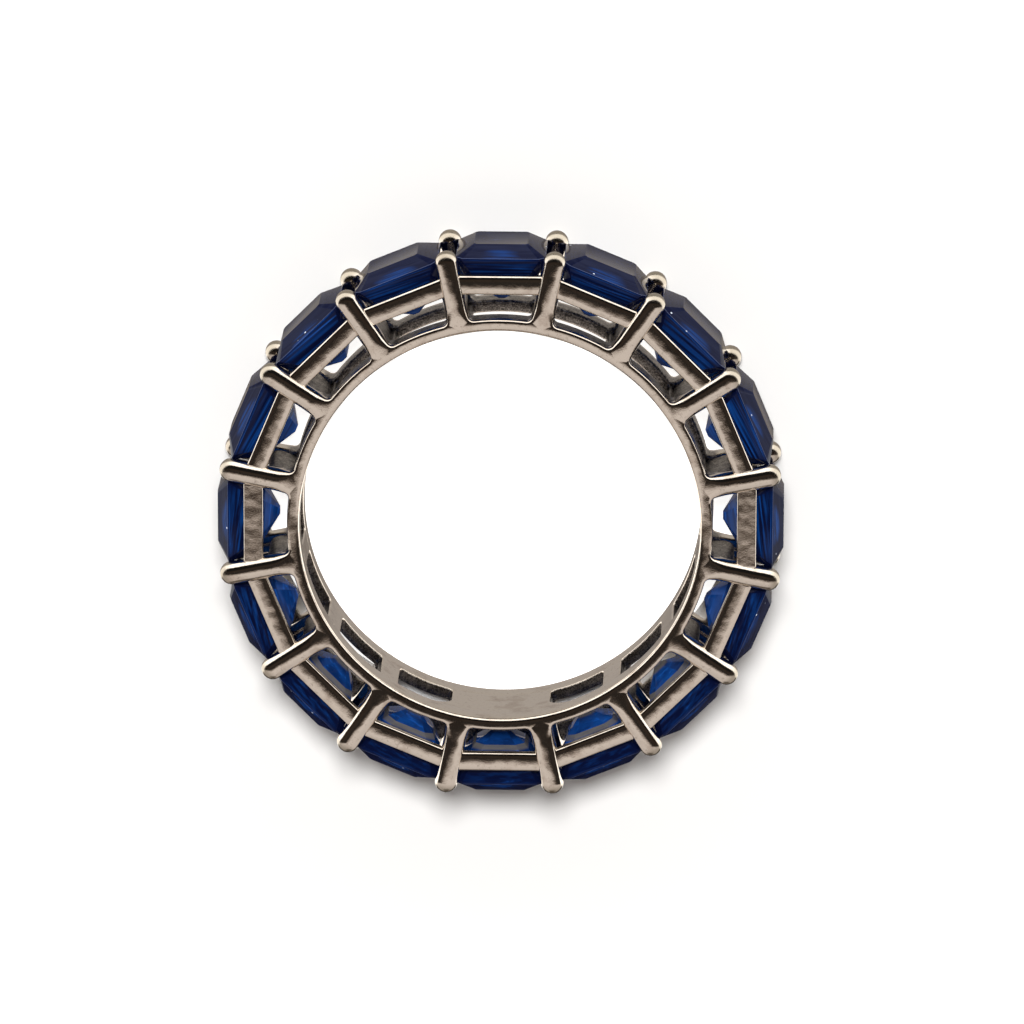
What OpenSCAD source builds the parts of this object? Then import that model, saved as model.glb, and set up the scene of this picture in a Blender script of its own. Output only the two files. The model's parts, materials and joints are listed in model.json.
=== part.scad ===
// Eternity ring: square step-cut stones held all round by shared prongs.
// The ring lies on its side. The finger's axis is +Z, and the ring stands on z = 0.
// Stone number 1 is at +Y, and the others follow clockwise, seen from above.

/* [Ring] */
// Inner diameter, which is the finger size
bore_d = 17.3; // [15.5:0.1:20]
// Number of stones round the ring
stones_n = 16; // [15:1:17]
// Height of the gallery, from the bore to the underside of the girdles
gallery_h = 3.0; // [2.8:0.05:3.5]

/* [Stones] */
// Side of a square stone at its girdle
stone_w = 3.85; // [3.5:0.05:4.1]
// Side of the flat table on top of a stone
table_w = 2.3; // [1.8:0.05:2.8]
// Cut across a stone's corners at the girdle
girdle_corner = 0.3; // [0.15:0.05:0.6]
// Cut across a stone's corners at the table
table_corner = 0.12; // [0.05:0.01:0.3]
// Height of the crown, from girdle to table
crown_h = 0.48; // [0.3:0.02:0.7]
// Thickness of the girdle
girdle_t = 0.1; // [0.05:0.01:0.2]
// Depth of the pavilion, from girdle to culet
pavilion_h = 2.05; // [1.6:0.05:2.3]
// Gap between a stone and its seat in the metal
seat_gap = 0.05; // [0.03:0.01:0.08]

/* [Rails] */
// Thickness of a rail, outward from the bore
rail_t = 0.53; // [0.4:0.01:0.8]
// Width of a rail along the finger
rail_w = 1.25; // [1.1:0.05:1.6]
// Rounding of a rail's edges towards the finger
bore_edge_r = 0.22; // [0.1:0.01:0.3]
// Rounding of a rail's outer edge
rail_edge_r = 0.12; // [0.05:0.01:0.2]

/* [Prongs] */
// How far a prong reaches over each of the two stones beside it
prong_lap = 0.1; // [0.06:0.01:0.2]
// Height of a prong's tip above the girdle
tip_h = 0.57; // [0.4:0.01:0.8]
// How far the crest of a prong lies behind the rail's face
prong_set = 0.03; // [0.02:0.01:0.1]
// Fillet where a prong leaves its rail
fillet_r = 0.3; // [0.15:0.01:0.45]

/* [Gallery] */
// Height of a gallery bar, measured outward
bar_h = 0.85; // [0.5:0.05:1.1]
// Thickness of a gallery bar along the finger
bar_t = 0.5; // [0.35:0.05:0.6]
// Distance from a gallery bar up to the girdle
bar_drop = 0.58; // [0.45:0.01:0.7]
// How far a gallery bar lies behind the crests of the prongs
bar_set = 0.15; // [0.1:0.01:0.25]
// Rounding of a gallery bar's long edges
bar_edge_r = 0.12; // [0.05:0.01:0.2]
// Thickness of the web that joins a front prong to the back one
web_t = 0.6; // [0.4:0.05:0.8]
// Height of that web above the rails
web_h = 1.1; // [0.6:0.05:1.4]

/* [Lining] */
// Thickness of the lining between the rails
lining_t = 0.45; // [0.3:0.01:0.5]
// How far the lining's inner face lies behind the rails' bore
lining_set = 0.03; // [0.02:0.01:0.1]
// Width of a lining strip between two windows, along the bore
strip_w = 0.9; // [0.6:0.05:1.2]
// Rounding of the lining's window corners
window_r = 0.45; // [0.2:0.05:0.7]

/* [Hidden] */
$fn = 48;
arc_steps = 5;
pitch = 360 / stones_n;
bore_r = bore_d / 2;
rail_r = bore_r + rail_t;
girdle_r = bore_r + gallery_h;
stone_gap = 2 * girdle_r * tan(pitch / 2) - stone_w;
prong_r = stone_gap / 2 + prong_lap;
prong_z = prong_set + prong_r;
ring_w = stone_w + 2 * prong_z;
mid_z = ring_w / 2;
tip_r = girdle_r + girdle_t + tip_h;
bar_r = girdle_r - bar_drop - bar_h;
plain_stone = floor(stones_n / 2) + 1;
buried = 0.2;
past = 1;

// Steps of the pavilion: share of its depth, share of the girdle's side, corner's share of that side
pavilion_steps = [
    [0.36, 0.84, 0.13],
    [0.70, 0.55, 0.18],
    [1.00, 0.08, 0.15],
];

function stone_name(k) = str("stone_", k < 10 ? "0" : "", k);

// Points of an arc round a centre, from one angle to the other
function arc(centre, r, from, to) =
    [for (i = [0:arc_steps]) let (a = from + (to - from) * i / arc_steps)
        [centre[0] + r * cos(a), centre[1] + r * sin(a)]];

// Points of a rectangle with round corners, centred on the origin
function round_rectangle(w, h, r) = concat(
    arc([w / 2 - r, h / 2 - r], r, 0, 90),
    arc([-w / 2 + r, h / 2 - r], r, 90, 180),
    arc([-w / 2 + r, -h / 2 + r], r, 180, 270),
    arc([w / 2 - r, -h / 2 + r], r, 270, 360));

// Points of one octagonal section of a stone: its side, its corner cut and its height
function octagon(side, cut, h) = let (a = side / 2, b = side / 2 - cut)
    [[a, b, h], [b, a, h], [-b, a, h], [-a, b, h], [-a, -b, h], [-b, -a, h], [b, -a, h], [a, -b, h]];

// Sections of a stone from culet to table, each grown outward by the given gap
function stone_sections(grow) = concat(
    [for (i = [len(pavilion_steps) - 1:-1:0]) let (s = pavilion_steps[i], side = stone_w * s[1])
        octagon(side + 2 * grow, side * s[2], -pavilion_h * s[0] - grow)],
    [octagon(stone_w + 2 * grow, girdle_corner, -grow),
     octagon(stone_w + 2 * grow, girdle_corner, girdle_t + grow),
     octagon(table_w + 2 * grow, table_corner, girdle_t + crown_h + grow)]);

// A closed solid through eight-sided sections, from the lowest to the highest
module faceted(sections) {
    top = len(sections) - 1;
    points = [for (s = sections) for (p = s) p];
    sides = [for (i = [0:top - 1]) for (j = [0:7])
        [8 * i + j, 8 * (i + 1) + j, 8 * (i + 1) + (j + 1) % 8, 8 * i + (j + 1) % 8]];
    lowest = [for (j = [0:7]) j];
    highest = [for (j = [7:-1:0]) 8 * top + j];
    polyhedron(points, concat([lowest], sides, [highest]));
}

// Turns a piece that was made at +Y clockwise to its place in the ring
module placed(angle) {
    rotate([0, 0, -angle]) children();
}

// Stone k, with its table outward and its girdle's underside on the gallery's height
module stone_body(k, grow) {
    placed((k - 1) * pitch)
        translate([0, girdle_r, mid_z])
            rotate([-90, 0, 0])
                faceted(stone_sections(grow));
}

module stone(k) {
    color("midnightblue") stone_body(k, 0);
}

// One rail: a flat ring whose outer edge is rounded. The bore is cut later
module rail() {
    rotate_extrude(convexity = 4)
        polygon(concat(
            [[bore_r - buried, 0]],
            arc([rail_r - rail_edge_r, rail_edge_r], rail_edge_r, -90, 0),
            arc([rail_r - rail_edge_r, rail_w - rail_edge_r], rail_edge_r, 0, 90),
            [[bore_r - buried, rail_w]]));
}

// One prong: a round wire that stands on the rail and ends in a dome
module prong() {
    root = bore_r + buried;
    translate([0, root, prong_z])
        rotate([-90, 0, 0])
            rotate_extrude()
                intersection() {
                    union() {
                        square([prong_r, tip_r - root - prong_r]);
                        translate([0, tip_r - root - prong_r]) circle(r = prong_r);
                    }
                    square([2 * prong_r, tip_r - root + past]);
                }
}

// The foot of a prong, which widens into the rail through two fillets
module prong_foot() {
    reach = prong_r + fillet_r;
    base = sqrt(rail_r * rail_r - reach * reach);
    right = arc([reach, base + fillet_r], fillet_r, 270, 180);
    left = [for (i = [arc_steps:-1:0]) [-right[i][0], right[i][1]]];
    translate([0, 0, prong_set + rail_edge_r / 2])
        linear_extrude(rail_w - rail_edge_r - 2 * prong_set)
            polygon(concat([[reach, bore_r + buried]], right, left, [[-reach, bore_r + buried]]));
}

// One gallery bar: straight, from prong to prong, with rounded long edges
module gallery_bar() {
    length = 2 * ((bar_r + bar_h / 2) * tan(pitch / 2) - prong_r / 3);
    translate([0, bar_r + bar_h / 2, prong_set + bar_set + bar_t / 2])
        rotate([0, 90, 0])
            linear_extrude(length, center = true)
                polygon(round_rectangle(bar_t, bar_h, bar_edge_r));
}

// One face of the ring: the rail with its prongs and gallery bars
module ladder() {
    rail();
    for (k = [0:stones_n - 1]) {
        placed(k * pitch) gallery_bar();
        placed((k + 0.5) * pitch) {
            prong();
            prong_foot();
        }
    }
}

// The web between the front prong and the back one
module web() {
    translate([-web_t / 2, bore_r + buried, prong_z])
        cube([web_t, rail_t - buried + web_h, ring_w - 2 * prong_z]);
}

// The lining of the bore between the rails, with a window under every stone but the lowest
module lining() {
    window_w = 2 * bore_r * sin(pitch / 2) - strip_w;
    window_h = ring_w - 2 * rail_w;
    difference() {
        translate([0, 0, rail_w / 2])
            rotate_extrude(convexity = 4)
                translate([bore_r - buried, 0])
                    square([lining_t + buried, ring_w - rail_w]);
        for (k = [1:stones_n])
            if (k != plain_stone)
                placed((k - 1) * pitch)
                    translate([0, bore_r - past, mid_z])
                        rotate([-90, 0, 0])
                            linear_extrude(lining_t + 2 * past)
                                polygon(round_rectangle(window_w, window_h, window_r));
    }
}

// The space for the finger: true cylinders whose two mouths are rounded. The rails bear on the
// finger, and the lining between them stands back
module finger_space() {
    r = bore_edge_r;
    back_r = bore_r + lining_set;
    rotate_extrude()
        polygon(concat(
            [[0, -past], [bore_r + r, -past]],
            arc([bore_r + r, r], r, 270, 180),
            [[bore_r, rail_w], [back_r, rail_w]],
            [[back_r, ring_w - rail_w], [bore_r, ring_w - rail_w]],
            arc([bore_r + r, ring_w - r], r, 180, 90),
            [[bore_r + r, ring_w + past], [0, ring_w + past]]));
}

// The cast metal: both faces, the webs and the lining, less the bore and the seats
module setting() {
    color([0.62, 0.58, 0.54]) difference() {
        union() {
            ladder();
            translate([0, 0, ring_w]) mirror([0, 0, 1]) ladder();
            for (k = [0:stones_n - 1]) placed((k + 0.5) * pitch) web();
            lining();
        }
        finger_space();
        for (k = [1:stones_n]) stone_body(k, seat_gap);
    }
}

setting();
for (k = [1:stones_n]) stone(k);
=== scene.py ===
"""Eternity ring: the cast metal and the cut stones, dressed on the ring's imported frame.

The ring lies on its side. The finger's axis is +Z, the ring stands on z = 0, and stone 1 is at +Y.
Every surface is worked out with numpy in millimetres and stored in metres.
"""

import json
import math
from types import SimpleNamespace

import bpy
import numpy as np
from bpy.props import FloatProperty, FloatVectorProperty, PointerProperty
from mathutils import Matrix, Vector


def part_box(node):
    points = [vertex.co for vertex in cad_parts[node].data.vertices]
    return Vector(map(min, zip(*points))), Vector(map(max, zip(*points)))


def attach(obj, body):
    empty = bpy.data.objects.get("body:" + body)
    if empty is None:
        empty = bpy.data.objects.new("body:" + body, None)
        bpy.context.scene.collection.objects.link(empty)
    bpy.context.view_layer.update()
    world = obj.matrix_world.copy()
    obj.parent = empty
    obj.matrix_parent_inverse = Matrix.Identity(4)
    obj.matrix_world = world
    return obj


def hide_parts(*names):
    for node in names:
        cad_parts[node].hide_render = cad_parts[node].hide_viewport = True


bl_info = {
    "name": "Eternity Ring",
    "version": (1, 0, 0),
    "blender": (4, 5, 0),
    "location": "3D View > Sidebar > Ring",
    "description": "Builds the metal, the stones and the studio of an eternity ring",
    "category": "Add Mesh",
}

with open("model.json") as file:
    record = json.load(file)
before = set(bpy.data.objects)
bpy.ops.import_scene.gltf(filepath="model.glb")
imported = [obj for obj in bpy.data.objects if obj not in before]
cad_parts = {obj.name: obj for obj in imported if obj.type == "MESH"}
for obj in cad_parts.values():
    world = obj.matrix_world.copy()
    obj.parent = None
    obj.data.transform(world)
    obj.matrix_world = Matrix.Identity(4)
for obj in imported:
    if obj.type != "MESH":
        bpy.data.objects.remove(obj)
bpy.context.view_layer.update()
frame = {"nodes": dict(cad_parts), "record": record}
MM = 0.001


def cad_sizes():
    """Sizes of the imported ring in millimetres, read from its boxes and its bore."""
    low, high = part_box("setting")
    stone_low, stone_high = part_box("stone_01")
    bore = next(m for m in frame["record"]["mounts"] if m["kind"] == "bore")
    return {
        "bore_r": bore["dims"]["r_mm"],
        "ring_w": (high.z - low.z) / MM,
        "stone_w": (stone_high.z - stone_low.z) / MM,
        "table_r": stone_high.y / MM,
        "culet_r": stone_low.y / MM,
    }


CAD = cad_sizes()
STONES = sum(name.startswith("stone_") for name in frame["nodes"])
PITCH = 2 * math.pi / STONES
HALF = PITCH / 2


# ---------------------------------------------------------------- sizes and colours


def length(name, description, default_mm):
    return FloatProperty(name=name, description=description, default=default_mm * MM, unit="LENGTH",
                         subtype="DISTANCE", precision=5)


def colour(name, description, default):
    return FloatVectorProperty(name=name, description=description, default=default, size=3,
                               min=0.0, max=1.0, subtype="COLOR")


class RingSizes(bpy.types.PropertyGroup):
    bore_r: length("Bore radius", "Radius of the finger hole", CAD["bore_r"])
    ring_w: length("Ring width", "Width of the ring along the finger", CAD["ring_w"])
    rail_t: length("Rail thickness", "Thickness of a rail, outward from the bore", 0.53)
    rail_w: length("Rail width", "Width of a rail along the finger", 1.25)
    prong_r: length("Prong radius", "Half the width of a prong", 0.4923)
    prong_z: length("Prong depth", "Depth of a prong's middle behind the face", 0.5223)
    tip_r: length("Tip radius", "Distance from the axis to the prongs' tips", 12.32)
    fillet_r: length("Fillet", "Rounding between a prong and its rail", 0.22)
    foot_run: length("Foot", "Length over which a prong's foot turns flat", 0.5)
    rail_edge: length("Window edge", "Rounding of a rail's edge at the windows", 0.15)
    prong_edge: length("Prong edge", "Rounding of a prong's long edges", 0.42)
    bore_edge: length("Bore edge", "Rounding of a rail's edge at the bore", 0.20)
    swell: length("Swell", "How far the rails lie behind the prongs' crests", 0.08)
    bar_h: length("Bar height", "Height of a gallery bar, outward", 0.85)
    bar_t: length("Bar thickness", "Thickness of a gallery bar along the finger", 0.5)
    bar_r: length("Bar radius", "Distance from the axis to the middle of a bar", 10.645)
    bar_set: length("Bar set-back", "How far a bar's crest lies behind the face", 0.18)
    web_t: length("Web thickness", "Thickness of the web between two prongs", 0.6)
    web_low: length("Web foot", "Distance from the axis to a web's inner edge", 8.85)
    web_high: length("Web top", "Distance from the axis to a web's outer edge", 10.28)
    lining_t: length("Lining thickness", "Thickness of the lining between the rails", 0.42)
    lining_set: length("Lining set-back", "How far the lining lies behind the rails' bore", 0.004)
    strip_w: length("Strip width", "Width of the lining between two windows", 0.9)
    window_r: length("Window corner", "Rounding of a window's corners", 0.16)
    plain_r: length("Plate corner", "Rounding of the windows' front corners at the plain plate", 1.1)


class StoneSizes(bpy.types.PropertyGroup):
    girdle_w: length("Girdle side", "Side of a stone at its girdle", CAD["stone_w"])
    table_w: length("Table side", "Side of a stone's table", 2.3)
    crown_h: length("Crown height", "Height of the crown", 0.48)
    girdle_t: length("Girdle", "Thickness of the girdle", 0.1)
    table_r: length("Table radius", "Distance from the axis to the tables", CAD["table_r"])
    culet_r: length("Culet radius", "Distance from the axis to the culets", CAD["culet_r"])
    girdle_corner: length("Girdle corner", "Cut across a stone's corners at the girdle", 0.3)
    table_corner: length("Table corner", "Cut across a stone's corners at the table", 0.12)
    edge: length("Edge polish", "Width of the polish along the facets' edges", 0.02)


class RingColours(bpy.types.PropertyGroup):
    metal: colour("Polished metal", "Reflection of the polished metal", (0.82, 0.745, 0.66))
    cast: colour("Cast metal", "Reflection of the unpolished metal", (0.50, 0.46, 0.42))
    stain: colour("Stain", "Brown bloom on the metal", (0.30, 0.19, 0.12))
    deep: colour("Deep blue", "The stones' darkest body colour", (0.0017, 0.0034, 0.019))
    royal: colour("Royal blue", "The stones' streaks of light", (0.0034, 0.032, 0.148))
    # Slate blue is a painted reflection of the bright surroundings on the stones' tables and crowns.
    slate_reflection: colour("Slate blue", "The veil over the stones' tables and crowns", (0.012, 0.0155, 0.039))
    floor: colour("Floor", "The studio's floor", (0.72, 0.72, 0.72))


def mm(group):
    """Every size of a property group in millimetres, by name."""
    return SimpleNamespace(**{k: getattr(group, k) / MM for k in group.__annotations__})


# ---------------------------------------------------------------- surfaces


def quads(rows, columns, round_columns=False):
    """Quads of a grid whose point (i, j) has the index i * columns + j."""
    i = np.arange(rows - 1)[:, None]
    j = np.arange(columns if round_columns else columns - 1)[None, :]
    k = (j + 1) % columns
    corners = [i * columns + j, (i + 1) * columns + j, (i + 1) * columns + k, i * columns + k]
    return np.stack(np.broadcast_arrays(*corners), -1).reshape(-1, 4)


def turned(points, angle):
    """Points turned clockwise about the axis, for each of the given angles."""
    a = np.atleast_1d(angle).reshape(-1, *[1] * (points.ndim - 1))
    x, y, z = (points[None, ..., n] for n in range(3))
    out = [x * np.cos(a) + y * np.sin(a), -x * np.sin(a) + y * np.cos(a), z + 0 * a]
    return np.stack(np.broadcast_arrays(*out), -1)


def joined(parts):
    """Several (points, quads, finish) sets as one set."""
    points = [p.reshape(-1, 3) for p, _, _ in parts]
    starts = np.cumsum([0] + [len(p) for p in points[:-1]])
    faces = np.concatenate([q + s for (_, q, _), s in zip(parts, starts)])
    finish = np.concatenate([np.broadcast_to(c, p.shape[:-1]).reshape(-1) for p, _, c in parts])
    return np.concatenate(points), faces, finish


def repeated(part, angles):
    """One (points, quads, finish) set turned to each angle and joined."""
    points, faces, finish = part
    many = turned(points.reshape(-1, 3), angles)
    count = many.shape[1]
    shift = (np.arange(len(many)) * count)[:, None, None]
    finish = np.tile(np.broadcast_to(finish, points.shape[:-1]).reshape(-1), len(many))
    return many.reshape(-1, 3), (faces[None] + shift).reshape(-1, 4), finish


def mirrored(part, width):
    """The same set on the ring's other face."""
    points, faces, finish = part
    return points * [1, 1, -1] + [0, 0, width], faces[:, ::-1], finish


def welded(points, faces):
    """Points that coincide become one, and quads that lose a corner by it become triangles.
    Returns the kept points' indices, the corners of all faces in a row, and each face's size."""
    keys = np.round(points / 1e-5).astype(np.int64)
    _, first, same = np.unique(keys, axis=0, return_index=True, return_inverse=True)
    faces = same.reshape(-1)[faces]
    kept = faces != np.roll(faces, -1, axis=1)
    sizes = kept.sum(1)
    faces, kept, sizes = faces[sizes > 2], kept[sizes > 2], sizes[sizes > 2]
    return first, faces[kept], sizes


def new_mesh(name, places, corners, starts):
    """A mesh from points in metres, the corners of all faces in a row, and each face's start."""
    mesh = bpy.data.meshes.new(name)
    mesh.vertices.add(len(places))
    mesh.vertices.foreach_set("co", places.astype(np.float32).ravel())
    mesh.loops.add(len(corners))
    mesh.loops.foreach_set("vertex_index", corners.astype(np.int32))
    mesh.polygons.add(len(starts))
    mesh.polygons.foreach_set("loop_start", starts.astype(np.int32))
    mesh.update(calc_edges=True)
    return mesh


def dress(name, mesh, node):
    """An object at the origin that stands for a CAD node."""
    piece = bpy.data.objects.new(name, mesh)
    bpy.context.scene.collection.objects.link(piece)
    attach(piece, "root")
    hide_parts(node)
    return piece


def metal_piece(name, part):
    """A metal object from a (points, quads, finish) set in millimetres, with its faces turned outward.
    The finish goes into the point attribute "cast": 0 on polished metal, 1 on metal left as cast."""
    points, faces, finish = part
    first, corners, sizes = welded(points, faces)
    places = points[first] * MM
    starts = np.concatenate([[0], np.cumsum(sizes)[:-1]])
    ends = starts + sizes - 1
    following = np.arange(len(corners)) + 1
    following[ends] = starts
    fans = np.repeat(corners[starts], sizes)
    a, b, c = places[fans], places[corners], places[corners[following]]
    if np.einsum("ij,ij->i", a, np.cross(b, c)).sum() < 0:
        corners = corners[np.repeat(starts + ends, sizes) - np.arange(len(corners))]
    mesh = new_mesh(name, places, corners, starts)
    mesh.polygons.foreach_set("use_smooth", np.ones(len(sizes), bool))
    layer = mesh.attributes.new("cast", "FLOAT", "POINT")
    layer.data.foreach_set("value", finish[first].astype(np.float32))
    mesh.validate()
    mesh.materials.append(bpy.data.materials["ring_metal"])
    return dress(name, mesh, "setting")


def smooth(x):
    """Smooth step from 0 to 1 as x goes from 0 to 1."""
    x = np.clip(x, 0, 1)
    return x * x * (3 - 2 * x)


# ---------------------------------------------------------------- the metal

# Fixed proportions of the metal. Lengths are in millimetres.
MIDDLE_SHARE = 0.52  # where a rail's middle line lies in its thickness
FILLET_SHARE = 1.6  # fillet radii over which, with the foot, a rail turns into a prong
CREST_OUT = 2.3  # how far outside the bore the faces lie highest
CROWN_SHARE = 0.03  # rise of a plate's crown to its flat width
BACK_EDGE = 0.12  # rounding of the edge between a rail's outer wall and its back
LIP = 0.09  # rounding of the bore's windows
LAP = 0.15  # how far the lining reaches under the rails
SHOW = 0.012  # how much of the lining shows between a window and a rail
BAR_SQUARENESS, WEB_SQUARENESS = 3.4, 3.6  # power of the section: 2 is round
WEB_FLARE = 0.25  # widening of a web at the prongs


def ladder(s):
    """One face of the ring: the rail with its prongs, as one plate with rounded edges.

    The outline runs along the rail's outer edge, round a fillet, up a prong's side and round its tip.
    Each point of the outline has a partner on the plate's middle line: the middle circle of the rail,
    then the prong's axis. Across the plate, between the two, the surface is a little crowned and then
    turns down over an edge. The edge is tight on the rail and wide on a prong, which makes the prong
    almost round."""
    middle_r = s.bore_r + MIDDLE_SHARE * s.rail_t
    outer_r = s.bore_r + s.rail_t
    side, fillet = s.prong_r, s.fillet_r
    foot = math.sqrt((outer_r + fillet) ** 2 - (side + fillet) ** 2)
    tip = s.tip_r - side
    foot_angle = math.atan2(side + fillet, foot)

    edge = np.linspace(HALF, foot_angle, 11)[:-1]
    bend = np.linspace(0, 1, 21)
    climb = foot + (tip - foot) * np.linspace(0, 1, 19)[1:]
    turn = np.linspace(0, math.pi / 2, 13)[1:]
    start = math.pi + math.atan2(foot, side + fillet)
    around = start + (math.pi - start) * bend
    outline = np.concatenate([
        np.stack([outer_r * np.sin(edge), outer_r * np.cos(edge)], -1),
        np.stack([side + fillet + fillet * np.cos(around), foot + fillet * np.sin(around)], -1),
        np.stack([np.full(len(climb), side), climb], -1),
        np.stack([side * np.cos(turn), tip + side * np.sin(turn)], -1)])
    on_circle = foot_angle * (1 - np.clip(bend * 2, 0, 1))
    on_axis = middle_r * np.cos(on_circle) + (foot - middle_r) * smooth(np.clip(bend * 2 - 1, 0, 1))
    middle = np.concatenate([
        np.stack([middle_r * np.sin(edge), middle_r * np.cos(edge)], -1),
        np.stack([middle_r * np.sin(on_circle), on_axis], -1),
        np.stack([np.zeros(len(climb)), climb], -1),
        np.stack([np.zeros(len(turn)), np.full(len(turn), tip)], -1)])
    ring_count = len(edge) + (len(bend) + 1) // 2
    walked = np.concatenate([[0], np.cumsum(np.hypot(*np.diff(outline, axis=0).T))])
    walked = (walked - walked[len(edge)]) / (FILLET_SHARE * fillet + s.foot_run)
    prongness = smooth(walked)

    rail_mid = s.ring_w - s.rail_w / 2
    plane = rail_mid + (s.ring_w - s.prong_z - rail_mid) * prongness
    back = s.rail_w / 2 + (side - s.rail_w / 2) * prongness
    crest_r = s.bore_r + CREST_OUT

    def crest(r):
        """Height of the face at a distance from the axis."""
        return s.ring_w - s.swell * ((r - crest_r) / (crest_r - middle_r)) ** 2

    def plate(base, reach, edge_front, edge_back, plane, back, rough):
        """Points from the middle line over the front edge, down the side and over the back edge to
        the middle line again, for each point of the middle line."""
        width = np.maximum(np.hypot(*reach.T), 1e-9)[:, None]
        way = reach / width
        front = np.minimum(np.broadcast_to(edge_front, plane.shape)[:, None], width)
        rear = np.minimum(np.broadcast_to(edge_back, plane.shape)[:, None], width)
        t = np.linspace(0, math.pi / 2, 10)
        u = np.linspace(math.pi / 2, 0, 7)
        x = np.concatenate([(width - front) * [0, 0.35, 0.65, 0.88], width - front + front * np.sin(t),
                            width, width - rear + rear * np.sin(u), (width - rear) * [0.6, 0.3, 0]], 1)
        crowned = CROWN_SHARE * (width - front)
        drop = np.concatenate([crowned * [0, 0.12, 0.42, 0.77], crowned + front * (1 - np.cos(t))], 1)
        seen = drop.shape[1]
        flat = base[:, None] + way[:, None] * x[..., None]
        r = np.hypot(flat[..., 0], flat[..., 1])[:, :seen]
        low = (plane - back)[:, None]
        z = np.concatenate([crest(r) - drop, plane[:, None], low + rear * (1 - np.cos(u)),
                            np.repeat(low, 3, axis=1)], 1)
        finish = np.concatenate([0 * drop, rough[:, None] * np.ones(x.shape[1] - seen)], 1)
        return np.concatenate([flat, z[..., None]], -1), finish

    outer = plate(middle, outline - middle, s.rail_edge + (s.prong_edge - s.rail_edge) * prongness,
                  BACK_EDGE + (side - BACK_EDGE) * prongness, plane, back, 1 - 0.85 * prongness)
    ring = middle[:ring_count]
    inward = ring * (s.bore_r / np.hypot(*ring.T))[:, None] - ring
    inner = plate(ring, inward, s.bore_edge, LIP, plane[:ring_count], back[:ring_count],
                  np.zeros(ring_count))
    parts = []
    for turned_over, (points, finish) in enumerate((outer, inner)):
        faces = quads(points.shape[0], points.shape[1])
        for sign in (1, -1):
            flip = turned_over != (sign < 0)
            parts.append((points * [sign, 1, 1], faces[:, ::-1] if flip else faces, finish))
    return repeated(joined(parts), (np.arange(STONES) + 0.5) * PITCH)


def sweep(spine, half_a, half_b, axis_a, axis_b, power, count, finish):
    """A superellipse section carried along a straight spine, closed to a point at both ends.
    Point (i, j) = spine i + half_a(i) * side(j) * axis_a + half_b(i) * up(j) * axis_b."""
    t = np.linspace(0, 2 * math.pi, count, endpoint=False)
    side = np.sign(np.cos(t)) * np.abs(np.cos(t)) ** (2 / power)
    up = np.sign(np.sin(t)) * np.abs(np.sin(t)) ** (2 / power)
    points = (spine[:, None] + (half_a[:, None] * side)[..., None] * np.asarray(axis_a)
              + (half_b[:, None] * up)[..., None] * np.asarray(axis_b))
    rough = np.broadcast_to(finish(side, up), points.shape[:-1])
    return points, quads(len(spine), count, True), rough


def gallery_bar(s):
    """A straight crowned bar from prong to prong under a stone's girdle."""
    reach = s.bar_r * math.tan(HALF) - s.prong_r / 3
    x = np.concatenate([[reach], np.linspace(reach, -reach, 15), [-reach]])
    size = np.ones(len(x))
    size[[0, -1]] = 0
    middle_z = s.ring_w - s.bar_set - s.bar_t / 2
    spine = np.stack([x, np.full(len(x), s.bar_r), np.full(len(x), middle_z)], -1)
    return sweep(spine, size * s.bar_h / 2, size * s.bar_t / 2, (0, 1, 0), (0, 0, 1),
                 BAR_SQUARENESS, 40, lambda side, up: smooth(0.5 - 1.6 * up))


def web(s):
    """The web between the front prong and the back one, a rounded post along the finger's axis."""
    low = s.prong_z
    z = np.concatenate([[low], np.linspace(low, s.ring_w - low, 21), [s.ring_w - low]])
    size = np.ones(len(z))
    size[[0, -1]] = 0
    waist = 1 + WEB_FLARE * np.abs(np.linspace(-1, 1, len(z))) ** 3
    spine = np.stack([0 * z, np.full(len(z), (s.web_low + s.web_high) / 2), z], -1)
    return sweep(spine, size * s.web_t / 2 * waist, size * (s.web_high - s.web_low) / 2,
                 (1, 0, 0), (0, 1, 0), WEB_SQUARENESS, 32, lambda side, up: 1.0)


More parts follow.
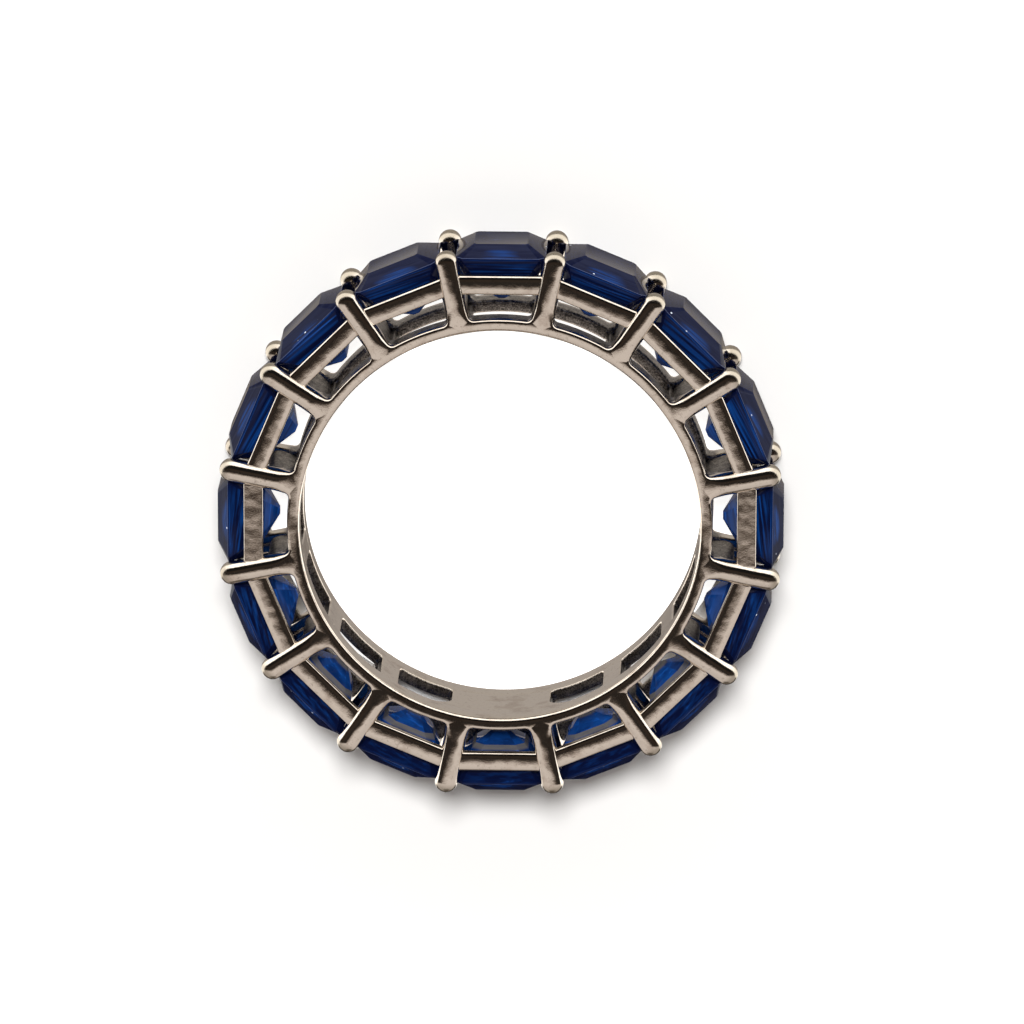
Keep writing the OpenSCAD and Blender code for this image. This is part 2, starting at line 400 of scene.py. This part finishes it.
def lining_cell(s, window, plain_side=0):
    """One cell of the bore's lining, curved round the axis: arc length x, height z, radius r.

    Rays from the cell's middle meet the window's rounded rectangle and the cell's own rectangle. The
    surface runs from the cell's edge to the window on the bore's side, over a rounded lip, through the
    lining and back on the outer side. A cell with no window closes to its middle on both sides. The
    window's front corner is wider on the side, +1 or -1, where the cell meets the plain plate."""
    cell_x, cell_z = s.bore_r * HALF, s.ring_w / 2 - s.rail_w + LAP
    hole_x = s.bore_r * math.sin(HALF) - s.strip_w / 2
    hole_z = s.ring_w / 2 - s.rail_w - SHOW
    diagonal = math.atan2(cell_z, cell_x)
    first = np.concatenate([np.linspace(0, diagonal, 19)[:-1],
                            np.linspace(diagonal, math.pi / 2, 19)])
    a = np.concatenate([first, math.pi - first[-2::-1], math.pi + first[1:],
                        2 * math.pi - first[-2:0:-1]])
    d = np.stack([np.cos(a), np.sin(a)], -1)
    d[np.abs(d) < 1e-12] = 0
    with np.errstate(divide="ignore"):
        edge = d * np.minimum(cell_x / np.abs(d[:, 0]), cell_z / np.abs(d[:, 1]))[:, None]
        straight = d * np.minimum(hole_x / np.abs(d[:, 0]), hole_z / np.abs(d[:, 1]))[:, None]
    corner = np.where((d[:, 0] * plain_side > 0) & (d[:, 1] > 0), s.plain_r, s.window_r)
    centre = np.sign(d) * (np.array([hole_x, hole_z]) - corner[:, None])
    along = (d * centre).sum(1)
    root = np.sqrt(np.maximum(along ** 2 - ((centre ** 2).sum(1) - corner ** 2), 0))
    in_corner = (np.abs(straight) > np.abs(centre)).all(1)
    rim = np.where(in_corner[:, None], d * (along + root)[:, None], straight)

    near, far = s.bore_r + s.lining_set, s.bore_r + s.lining_set + s.lining_t
    steps = 14
    if window:
        t = np.linspace(0, math.pi / 2, 6)
        depth = np.concatenate([near + LIP * (1 - np.cos(t)), far - LIP * (1 - np.cos(t[::-1]))])
        back_off = np.concatenate([LIP * (1 - np.sin(t)), LIP * (1 - np.sin(t[::-1]))])
        size = np.hypot(*rim.T)[:, None]
        lips = rim[:, None] * ((size + back_off) / size)[..., None]
        away = np.linspace(1, 0, 5)[:-1]
        near_rows = lips[:, :1] + (edge[:, None] - lips[:, :1]) * away[:, None]
        far_rows = lips[:, -1:] + (edge[:, None] - lips[:, -1:]) * away[::-1, None]
        flat = np.concatenate([near_rows, lips, far_rows], 1)
        radius = np.concatenate([np.full(4, near), depth, np.full(4, far)])
        rough = np.concatenate([np.zeros(4), smooth(np.linspace(-1.5, 1, 6)), np.ones(10)])
    else:
        share = np.concatenate([np.linspace(1, 0, steps), np.linspace(0, 1, steps)])
        flat = edge[:, None] * share[:, None]
        radius = np.repeat([near, far], steps)
        rough = np.repeat([0.0, 1.0], steps)
    rows, columns = flat.shape[:2]
    faces = quads(rows + 1, columns)
    if not window:
        faces = faces[faces[:, 0] % columns != steps - 1]
    faces = faces % (rows * columns)
    angle = flat[..., 0] / s.bore_r
    points = np.stack([radius * np.sin(angle), radius * np.cos(angle), s.ring_w / 2 + flat[..., 1]], -1)
    here = np.arange(len(a))
    there = (here + 1) % len(a)
    on_rail = np.abs(np.abs(edge[:, 1]) - cell_z) < 1e-9
    rail_side = on_rail[here] & on_rail[there] & (np.sign(edge[here, 1]) == np.sign(edge[there, 1]))
    last = columns - 1
    wall = np.stack([here * columns + last, there * columns + last,
                     there * columns, here * columns], -1)
    return points, np.concatenate([faces, wall[rail_side]]), np.broadcast_to(rough, points.shape[:-1])


# ---------------------------------------------------------------- the stones

# Sections of the pavilion from the culet on: share of its depth, share of the girdle's side, and how
# much of the section's own side its corners cut off.
PAVILION = ((1.00, 0.08, 0.15), (0.70, 0.55, 0.18), (0.36, 0.84, 0.13))
# Finish of each band of facets from the culet to the table, counted as in stone_looks.
FINISHES = (3, 3, 2, 2, 1)
TABLE, CULET = 0, 3
UV_SCALE = 10.0  # millimetres in one unit of a stone's UV map
ASIDE = 5  # millimetres that keep a facet away from the glow


def stone_rings(s):
    """The stone's eight-sided sections from culet to table: half side, corner cut and distance from
    the axis."""
    crown_r = s.table_r - s.crown_h
    girdle_r = crown_r - s.girdle_t
    depth = girdle_r - s.culet_r
    rings = [(s.girdle_w * side / 2, s.girdle_w * side * cut, girdle_r - depth * down)
             for down, side, cut in PAVILION]
    return np.array(rings + [(s.girdle_w / 2, s.girdle_corner, girdle_r),
                             (s.girdle_w / 2, s.girdle_corner, crown_r),
                             (s.table_w / 2, s.table_corner, s.table_r)])


def cut_stone(name, s, mid_z, angle, looks, node):
    """A square step-cut stone. Its UV map holds, on each facet, the distance along the facet from its
    middle and the height across it from 0 to 1, both divided by UV_SCALE. On the facets that don't
    face along the finger the distance is moved on by ASIDE, which keeps the glow off them."""
    rings = stone_rings(s)
    a, b, r = rings[:, 0], rings[:, 0] - rings[:, 1], rings[:, 2]
    x = np.stack([a, b, -b, -a, -a, -b, b, a], 1)
    z = np.stack([b, a, a, b, -b, -a, -a, -b], 1)
    points = np.stack([x, np.broadcast_to(r[:, None], x.shape), z + mid_z], -1).reshape(-1, 3)
    points = turned(points, angle)[0] * MM
    faces = quads(len(rings), 8, True)
    band, place = faces[:, 0] // 8, np.arange(len(faces)) % 8
    ends = np.concatenate([np.arange(8) + 8 * (len(rings) - 1), np.arange(8)[::-1]])
    starts = np.concatenate([np.arange(len(faces)) * 4, len(faces) * 4 + np.array([0, 8])])
    mesh = new_mesh(name, points, np.concatenate([faces.ravel(), ends]), starts)
    kind = np.concatenate([np.array(FINISHES)[band], [TABLE, CULET]])
    mesh.polygons.foreach_set("material_index", kind.astype(np.int32))

    flat_x, flat_z = x.reshape(-1), z.reshape(-1)
    facing = np.radians([45.0, 90, 135, 180, 225, 270, 315, 0])[place][:, None]
    along = flat_z[faces] * np.cos(facing) - flat_x[faces] * np.sin(facing)
    across = np.broadcast_to([0.0, 1, 1, 0], along.shape)
    along = along + np.where(np.isin(place, (1, 5)), 0, ASIDE)[:, None]
    uv = np.concatenate([np.stack([along, across], -1).reshape(-1, 2),
                         np.stack([flat_x[ends], flat_z[ends]], -1)]) / UV_SCALE
    layer = mesh.uv_layers.new(name="facets")
    layer.data.foreach_set("uv", uv.astype(np.float32).ravel())
    for look in looks:
        mesh.materials.append(look)
    volume = np.array([p.center.dot(p.normal) * p.area for p in mesh.polygons]).sum()
    if volume < 0:
        mesh.flip_normals()
    piece = dress(name, mesh, node)
    bevel = piece.modifiers.new("polish", "BEVEL")
    bevel.width = s.edge * MM / 2
    bevel.segments = 2
    bevel.limit_method = "NONE"
    return piece


# ---------------------------------------------------------------- finishes

# The third colour is painted shade: a darker tan that dims the reflection on the prongs' tips.
SPECK, DIRT, TIP_SHADE = (0.25, 0.20, 0.16), (0.11, 0.10, 0.092), (0.40, 0.355, 0.28)
# Painted light on the stones: a highlight line along the facets' edges, white sparkles, and the grey of
# the castings painted on the lower stones as if seen through them.
EDGE_HIGHLIGHT, GLEAM, CASTING_SEEN_THROUGH = (0.16, 0.20, 0.36), (0.75, 0.82, 0.95), (0.085, 0.079, 0.074)
# The strongest streaks are painted highlights of light from inside the stones.
BRIGHTER = 1.9  # how much brighter than the royal blue the strongest streaks are


class Term:
    """A number that varies over a surface. Arithmetic on it adds Math nodes to its look."""

    def __init__(self, look, socket):
        self.look, self.socket = look, socket

    def math(self, operation, *others, clamp=False):
        return self.look.math(operation, self, *others, clamp=clamp)

    def __add__(self, other):
        return self.math("ADD", other)

    __radd__ = __add__

    def __mul__(self, other):
        return self.math("MULTIPLY", other)

    __rmul__ = __mul__

    def __sub__(self, other):
        return self.math("SUBTRACT", other)

    def __rsub__(self, other):
        return self.look.math("SUBTRACT", other, self)

    def __truediv__(self, other):
        return self.math("DIVIDE", other)

    def __rtruediv__(self, other):
        return self.look.math("DIVIDE", other, self)

    def __pow__(self, other):
        return self.math("POWER", other)

    def __neg__(self):
        return 0 - self

    def __abs__(self):
        return self.math("ABSOLUTE")

    def step(self, low, high):
        """Smoothly from 0 where the number is low to 1 where it is high."""
        t = ((self - low) / (high - low)).math("ADD", 0.0, clamp=True)
        return t * t * (3 - 2 * t)


class Look:
    """The nodes of one finish."""

    def __init__(self, owner):
        self.owner = owner
        owner.use_nodes = True
        self.tree = owner.node_tree
        self.tree.nodes.clear()

    def node(self, kind, settings=None, sockets=None):
        """A node of that type, with its settings first, then its sockets' values or links."""
        made = self.tree.nodes.new(kind)
        for name, value in (settings or {}).items():
            if name == "stops":
                ramp = made.color_ramp.elements
                while len(ramp) < len(value):
                    ramp.new(0.5)
                for stop, (place, shade) in zip(ramp, value):
                    stop.position, stop.color = place, (*shade, 1.0)
            else:
                setattr(made, name, value)
        for name, value in (sockets or {}).items():
            socket = made.inputs[name]
            if isinstance(value, Term):
                self.tree.links.new(value.socket, socket)
            elif isinstance(value, bpy.types.NodeSocket):
                self.tree.links.new(value, socket)
            else:
                socket.default_value = value
        return made

    def math(self, operation, *terms, clamp=False):
        settings = {"operation": operation, "use_clamp": clamp}
        made = self.node("ShaderNodeMath", settings, dict(enumerate(terms)))
        return Term(self, made.outputs[0])

    def place(self, scale):
        """The object's own coordinates times the scale, so that 1000 gives millimetres."""
        there = self.node("ShaderNodeTexCoord").outputs["Object"]
        return self.stretch(there, (scale,) * 3)

    def stretch(self, vector, scale):
        made = self.node("ShaderNodeVectorMath", {"operation": "MULTIPLY"}, {0: vector, 1: scale})
        return made.outputs[0]

    def split(self, vector):
        made = self.node("ShaderNodeSeparateXYZ", {}, {0: vector})
        return [Term(self, made.outputs[n]) for n in range(3)]

    def join(self, x, y, z):
        return self.node("ShaderNodeCombineXYZ", {}, {0: x, 1: y, 2: z}).outputs[0]

    def noise(self, vector, scale, detail=2.0, roughness=0.5):
        made = self.node("ShaderNodeTexNoise", {"noise_dimensions": "3D"},
                         {"Vector": vector, "Scale": scale, "Detail": detail, "Roughness": roughness})
        return Term(self, made.outputs[0])

    def cells(self, vector, scale):
        made = self.node("ShaderNodeTexVoronoi", {"feature": "F1"}, {"Vector": vector, "Scale": scale})
        return Term(self, made.outputs["Distance"])

    def mix(self, share, low, high):
        """The colour low where share is 0, and high where it is 1."""
        low, high = (v if isinstance(v, bpy.types.NodeSocket) else (*v, 1.0) for v in (low, high))
        made = self.node("ShaderNodeMix", {"data_type": "RGBA"}, {0: share, 6: low, 7: high})
        return made.outputs[2]

    def bump(self, height_um, strength=1.0):
        """A bump whose height is given in micrometres."""
        sockets = {"Strength": strength, "Distance": 1e-6, "Height": height_um}
        return self.node("ShaderNodeBump", {}, sockets).outputs[0]

    def surface(self, **sockets):
        named = {k.replace("_", " "): v for k, v in sockets.items()}
        shader = self.node("ShaderNodeBsdfPrincipled", {}, named)
        self.node("ShaderNodeOutputMaterial", {}, {"Surface": shader.outputs[0]})


def metal_look(colours):
    """Silver worn warm: polished where hands and wheels reach, grey and grainy where it was cast, and
    a little dull at the prongs' tips, where a darker tan tint is painted shade that dims their
    reflection."""
    look = Look(bpy.data.materials.new("ring_metal"))
    where = look.place(1000)
    cast = Term(look, look.node("ShaderNodeAttribute", {"attribute_name": "cast"}).outputs["Fac"])
    hand = look.noise(where, 1.7, 1.0, 0.35)
    grain = look.noise(where, 15.0, 3.0, 0.65)
    speck = look.noise(where, 6.5, 4.0, 0.7)
    pits = look.cells(where, 11.0)
    bloom = look.noise(where, 1.1, 3.0).step(0.52, 0.74)
    rough_patch = look.noise(where, 3.2, 4.0, 0.7)
    raw = (cast * 1.25 + (rough_patch - 0.5) * 0.9 * cast).step(0.25, 0.8)
    tint = look.mix(bloom * 0.35, tuple(colours.metal), tuple(colours.stain))
    tint = look.mix(speck.step(0.54, 0.72) * 0.38, tint, SPECK)
    clean = (rough_patch * 0.4 + grain * 0.6).step(0.4, 0.62)
    dirty = look.mix(clean, DIRT, tuple(colours.cast))
    tint = look.mix(raw, tint, dirty)
    x, y, _ = look.split(where)
    # The prongs' tips: the darker tan tint is painted shade that dims their reflection; the added
    # roughness is wear.
    tip = ((x * x + y * y) ** 0.5).step(11.75, 12.15)
    tint = look.mix(tip * 0.75, tint, TIP_SHADE)
    shine = 0.05 + grain * 0.06 + bloom * 0.04 + raw * 0.28 + tip * 0.14
    relief = hand * 13.0 + grain * 1.8 + speck * 0.8 + raw * (speck * 24.0 - pits * 12.0)
    look.surface(Base_Color=tint, Metallic=1.0, Roughness=shine, Normal=look.bump(relief))
    return look.owner


def stone_look(name, colours, painted, gloss):
    """A cut stone's finish. Its body colour stands for the light that the facets send back from
    inside, and the polish on top is the stone's own hard gloss."""
    look = Look(bpy.data.materials.new(name))
    uv = look.node("ShaderNodeUVMap", {"uv_map": "facets"}).outputs[0]
    along, across, _ = look.split(look.stretch(uv, (UV_SCALE,) * 3))
    where = look.place(1000)
    tint = painted(look, along, across, where)
    wear = look.noise(where, 6.0, 3.0)
    # The body colour also glows a little: painted light standing for light that passes through the
    # stone.
    look.surface(Base_Color=tint, Metallic=0.0, Roughness=0.04 + wear.step(0.6, 0.8) * 0.08, IOR=1.77,
                 Specular_IOR_Level=gloss, Emission_Color=tint, Emission_Strength=0.2,
                 Normal=look.bump(wear * 0.6))
    return look.owner


def stone_looks(colours):
    """The finishes of a stone's four kinds of facet: table, crown, band and pavilion."""
    deep, royal, slate_reflection = (tuple(c) for c in (colours.deep, colours.royal, colours.slate_reflection))
    bright = tuple(min(1.0, BRIGHTER * c) for c in royal)

    def streaks(look, along, across, where, seed):
        """Two noises drawn out along the facets: narrow and wide streaks of painted light."""
        x, y, z = look.split(where)
        narrow = look.join(along * 0.55 + x * 0.9, across * 5.5 + y * 0.9, z * 0.9 + seed)
        broad = look.join(along * 0.35 + x * 0.45, across * 1.6 + y * 0.45, z * 0.45 + seed)
        return look.noise(narrow, 1.0, 3.0, 0.6), look.noise(broad, 1.0, 2.0)

    def table(look, along, across, where):
        fine, wide = streaks(look, along, across, where, 3.0)
        steps = abs(along).math("MAXIMUM", abs(across))
        # The table's middle gets a painted reflection (slate) and painted streaks of light (royal).
        window = steps.step(0.95, 0.35)
        tint = look.mix(window * 0.4 + wide.step(0.45, 0.7) * 0.3, deep, slate_reflection)
        return look.mix(fine.step(0.62, 0.78) * window * 0.6, tint, royal)

    def crown(look, along, across, where):
        fine, wide = streaks(look, along, across, where, 7.0)
        # A painted reflection (slate) that darkens to the deep blue towards the girdle, and a painted
        # glow of royal blue.
        low = 1 - across
        patch = along * along * 0.75 + (across - 0.15) * (across - 0.15) * 3.0
        glow = (patch + (wide - 0.5) * 1.2).step(0.8, 0.0)
        tint = look.mix(0.42 + low * 0.45 + fine.step(0.4, 0.6) * 0.4, slate_reflection, deep)
        tint = look.mix(glow * fine.step(0.35, 0.65), tint, royal)
        # A painted highlight along each facet's lower edge, then painted white sparkles.
        tint = look.mix(across.step(0.045, 0.0) * 0.35, tint, EDGE_HIGHLIGHT)
        spark = look.cells(look.stretch(where, (1.0, 1.0, 1.6)), 1.7).step(0.10, 0.05)
        gleam = spark * across.step(0.45, 0.2)
        return look.mix(gleam * 0.9, tint, GLEAM)

    def band(look, along, across, where):
        fine, wide = streaks(look, along, across, where, 11.0)
        x, y, _ = look.split(where)
        # Painted streaks of light, strongest in a facet's middle and stronger on the upper stones,
        # painted as if more light falls on them from above.
        middle = abs(along).step(1.8, 1.0) * (0.75 + abs(x) * 0.05) * (0.5 + y.step(-13.0, 0.0) * 0.5)
        lines = fine.step(0.42, 0.64) * middle * (1.15 - 0.75 * across)
        tint = look.mix(lines * (0.55 + wide * 0.5), deep, royal)
        return look.mix(fine.step(0.62, 0.74) * wide.step(0.42, 0.62) * middle, tint, bright)

    def pavilion(look, along, across, where):
        """Blue with painted streaks of light, and painted grey for the castings seen through the lower
        stones.
        """
        fine, wide = streaks(look, along, across, where, 17.0)
        tint = look.mix(0.35 + wide.step(0.35, 0.65) * 0.65, deep, royal)
        tint = look.mix(fine.step(0.50, 0.72) * 0.8, tint, bright)
        _, y, _ = look.split(where)
        # Painted grey on the lower stones, an image of the metal seen through them.
        casting_seen_through = across.step(0.36, 0.20) * (0.4 + fine * 0.9) * y.step(-3.0, -7.0)
        return look.mix(casting_seen_through, tint, CASTING_SEEN_THROUGH)

    kinds = {"stone_table": (table, 0.085), "stone_crown": (crown, 0.05), "stone_band": (band, 0.06),
             "stone_pavilion": (pavilion, 0.03)}
    return [stone_look(name, colours, painted, gloss) for name, (painted, gloss) in kinds.items()]


def plain_look(name, tint, glow=0.0):
    """A studio surface that may give light of its own."""
    look = Look(bpy.data.materials.new(name))
    look.surface(Base_Color=(*tint, 1.0), Roughness=0.9, Specular_IOR_Level=0.1,
                 Emission_Color=(1.0, 0.985, 0.96, 1.0), Emission_Strength=glow)
    return look.owner


# ---------------------------------------------------------------- operators


class RING_OT_ladders(bpy.types.Operator):
    """Builds the ring's two faces: the rails with their prongs"""
    bl_idname = "ring.ladders"
    bl_label = "Rails and prongs"

    def execute(self, context):
        s = mm(context.scene.ring_sizes)
        front = ladder(s)
        metal_piece("front_face", front)
        metal_piece("back_face", mirrored(front, s.ring_w))
        return {"FINISHED"}


class RING_OT_gallery(bpy.types.Operator):
    """Builds the gallery: the bars under the stones and the webs between the prongs"""
    bl_idname = "ring.gallery"
    bl_label = "Gallery bars and webs"

    def execute(self, context):
        s = mm(context.scene.ring_sizes)
        bars = repeated(gallery_bar(s), np.arange(STONES) * PITCH)
        metal_piece("front_bars", bars)
        metal_piece("back_bars", mirrored(bars, s.ring_w))
        metal_piece("webs", repeated(web(s), (np.arange(STONES) + 0.5) * PITCH))
        return {"FINISHED"}


class RING_OT_lining(bpy.types.Operator):
    """Builds the bore's lining, with a window under every stone but the lowest"""
    bl_idname = "ring.lining"
    bl_label = "Lining"

    def execute(self, context):
        s = mm(context.scene.ring_sizes)
        lowest = STONES // 2
        cells = [n for n in range(STONES) if abs(n - lowest) > 1]
        part = joined([repeated(lining_cell(s, True), np.array(cells) * PITCH),
                       repeated(lining_cell(s, True, 1), np.array([lowest - 1]) * PITCH),
                       repeated(lining_cell(s, True, -1), np.array([lowest + 1]) * PITCH),
                       repeated(lining_cell(s, False), np.array([lowest]) * PITCH)])
        metal_piece("lining", part)
        return {"FINISHED"}


class RING_OT_stones(bpy.types.Operator):
    """Cuts the stones"""
    bl_idname = "ring.stones"
    bl_label = "Stones"

    def execute(self, context):
        s = mm(context.scene.stone_sizes)
        looks = stone_looks(context.scene.ring_colours)
        mid_z = context.scene.ring_sizes.ring_w / MM / 2
        for k in range(STONES):
            cut_stone(f"cut_stone_{k + 1:02d}", s, mid_z, k * PITCH, looks, f"stone_{k + 1:02d}")
        return {"FINISHED"}


class RING_OT_metal(bpy.types.Operator):
    """Prepares the metal's finish"""
    bl_idname = "ring.metal"
    bl_label = "Metal finish"

    def execute(self, context):
        metal_look(context.scene.ring_colours)
        return {"FINISHED"}


class RING_OT_studio(bpy.types.Operator):
    """Sets up the floor, the light and the camera"""
    bl_idname = "ring.studio"
    bl_label = "Studio"

    def execute(self, context):
        floor_and_tent(context)
        sky(context)
        lamp(context)
        camera(context)
        return {"FINISHED"}


def disc(name, radii, heights, look):
    """A surface of revolution about the ring's axis: point (i, j) = radius i at angle j, height i."""
    a = np.linspace(0, 2 * math.pi, 96, endpoint=False)
    r, h = np.array(radii)[:, None], np.array(heights)[:, None]
    points = np.stack([r * np.cos(a), r * np.sin(a), h + 0 * a], -1).reshape(-1, 3)
    faces = quads(len(radii), len(a), True)[:, ::-1]
    mesh = bpy.data.meshes.new(name)
    mesh.from_pydata(points.tolist(), [], faces.tolist())
    mesh.polygons.foreach_set("use_smooth", np.ones(len(faces), bool))
    mesh.materials.append(look)
    piece = bpy.data.objects.new(name, mesh)
    bpy.context.scene.collection.objects.link(piece)
    return piece


def floor_and_tent(context):
    """A pale floor, round it the low bright wall of a light tent, and a lit pad under the ring's
    hole. Sizes are in metres."""
    tint = tuple(context.scene.ring_colours.floor)
    reach, height, hair = 1.5, 0.36, 1e-5
    floor = disc("floor", (hair, 0.02, 0.1, 0.4, reach), (0,) * 5, plain_look("floor_paper", tint))
    wall = disc("tent_wall", (reach,) * 2, (-0.001, height), plain_look("tent_cloth", tint, 0.12))
    pad = disc("light_pad", (hair, 0.0105), (hair,) * 2, plain_look("light_pad", tint, 0.9))
    pad.data.transform(Matrix.Translation((0, 0.0012, 0)))
    for piece in (floor, wall, pad):
        piece.visible_glossy = False


def sky(context):
    """What the polish mirrors, with the photo's up (+Y) as up. In front of the ring the room is tan
    below its level and dark above, and dims straight below. Behind the ring the backdrop goes from
    tan above to dark below. A white band between the two runs overhead and down both sides."""
    world = bpy.data.worlds.new("studio")
    context.scene.world = world
    look = Look(world)
    way = look.node("ShaderNodeTexCoord").outputs["Generated"]
    _, y, z = look.split(way)
    room = [(0.0, (0.12, 0.10, 0.085)), (0.014, (0.17, 0.145, 0.125)), (0.034, (0.60, 0.55, 0.52)),
            (0.33, (0.69, 0.635, 0.60)), (0.35, (0.45, 0.40, 0.365)), (0.372, (0.11, 0.085, 0.07)),
            (0.395, (0.020, 0.017, 0.015)), (0.47, (0.033, 0.026, 0.022)),
            (0.58, (0.036, 0.026, 0.020)), (0.66, (0.010, 0.009, 0.009)), (1.0, (0.01, 0.01, 0.01))]
    backdrop = [(0.0, (0.03, 0.025, 0.02)), (0.28, (0.06, 0.05, 0.04)), (0.37, (0.22, 0.19, 0.165)),
                (0.5, (0.40, 0.365, 0.335)), (0.62, (0.43, 0.395, 0.365)), (1.0, (0.50, 0.47, 0.42))]
    height = y * 0.5 + 0.5
    before = look.node("ShaderNodeValToRGB", {"stops": room}, {0: height}).outputs[0]
    behind = look.node("ShaderNodeValToRGB", {"stops": backdrop}, {0: height}).outputs[0]
    tint = look.mix(z.step(-0.25, -0.45), before, behind)
    lean = z - 0.55 * y
    band = lean.step(0.18, 0.06) * lean.step(-0.82, -0.70) * y.step(-0.55, -0.38)
    tint = look.mix(band, tint, (1.75, 1.70, 1.62))
    light = look.node("ShaderNodeBackground", {}, {"Color": tint, "Strength": 1.0})
    look.node("ShaderNodeOutputWorld", {}, {"Surface": light.outputs[0]})


def lamp(context):
    """A wide soft lamp over the ring. It lights, and isn't seen in the polish."""
    light = bpy.data.lights.new("key", "SUN")
    light.energy = 4.0
    light.angle = math.radians(17)
    light.color = (1.0, 0.99, 0.975)
    key = bpy.data.objects.new("key", light)
    key.visible_glossy = False
    lean = math.radians(26.5)
    key.rotation_mode = "QUATERNION"
    key.rotation_quaternion = Vector((0, math.sin(lean), math.cos(lean))).to_track_quat("Z", "Y")
    context.scene.collection.objects.link(key)


def camera(context):
    """The photograph's viewpoint: 15.4 degrees above the ring's axis and 1.9 to its right, 0.36 m away.
    The photo's side, the focal length and the optical centre are in pixels."""
    lift, yaw, roll, away = math.radians(15.41), math.radians(1.90), math.radians(0.14), 0.36234
    photo, focal, centre_x, centre_y = 1024, 8361.5, 501.39, 512.24
    middle = Vector((0, 0, context.scene.ring_sizes.ring_w / 2))
    back = Vector((math.sin(yaw) * math.cos(lift), math.sin(lift), math.cos(yaw) * math.cos(lift)))
    right = Vector((0, 1, 0)).cross(back).normalized()
    up = back.cross(right)
    across = right * math.cos(roll) + up * math.sin(roll)
    upward = up * math.cos(roll) - right * math.sin(roll)
    data = bpy.data.cameras.new("camera")
    data.sensor_width = 36
    data.lens = data.sensor_width * focal / photo
    data.shift_x = (photo / 2 - centre_x) / photo
    data.shift_y = (centre_y - photo / 2) / photo
    data.clip_start, data.clip_end = 0.01, 10
    seen = bpy.data.objects.new("camera", data)
    turn = Matrix((across, upward, back)).transposed().to_4x4()
    seen.matrix_world = Matrix.Translation(middle + back * away) @ turn
    context.scene.collection.objects.link(seen)
    context.scene.camera = seen
    context.scene.view_settings.view_transform = "Standard"


OPERATORS = (RING_OT_metal, RING_OT_ladders, RING_OT_gallery, RING_OT_lining, RING_OT_stones,
             RING_OT_studio)


class RING_PT_panel(bpy.types.Panel):
    """The ring's steps and sizes"""
    bl_idname = "RING_PT_panel"
    bl_label = "Eternity ring"
    bl_space_type = "VIEW_3D"
    bl_region_type = "UI"
    bl_category = "Ring"

    def draw(self, context):
        for operator in OPERATORS:
            self.layout.operator(operator.bl_idname)
        for group in (context.scene.ring_sizes, context.scene.stone_sizes, context.scene.ring_colours):
            box = self.layout.box()
            for name in group.__annotations__:
                box.prop(group, name)


CLASSES = (RingSizes, StoneSizes, RingColours, *OPERATORS, RING_PT_panel)


def register():
    for made in CLASSES:
        bpy.utils.register_class(made)
    bpy.types.Scene.ring_sizes = PointerProperty(type=RingSizes)
    bpy.types.Scene.stone_sizes = PointerProperty(type=StoneSizes)
    bpy.types.Scene.ring_colours = PointerProperty(type=RingColours)


def unregister():
    del bpy.types.Scene.ring_colours
    del bpy.types.Scene.stone_sizes
    del bpy.types.Scene.ring_sizes
    for made in reversed(CLASSES):
        bpy.utils.unregister_class(made)


def main():
    register()
    bpy.ops.ring.metal()
    bpy.ops.ring.ladders()
    bpy.ops.ring.gallery()
    bpy.ops.ring.lining()
    bpy.ops.ring.stones()
    bpy.ops.ring.studio()


if __name__ == "__main__":
    main()
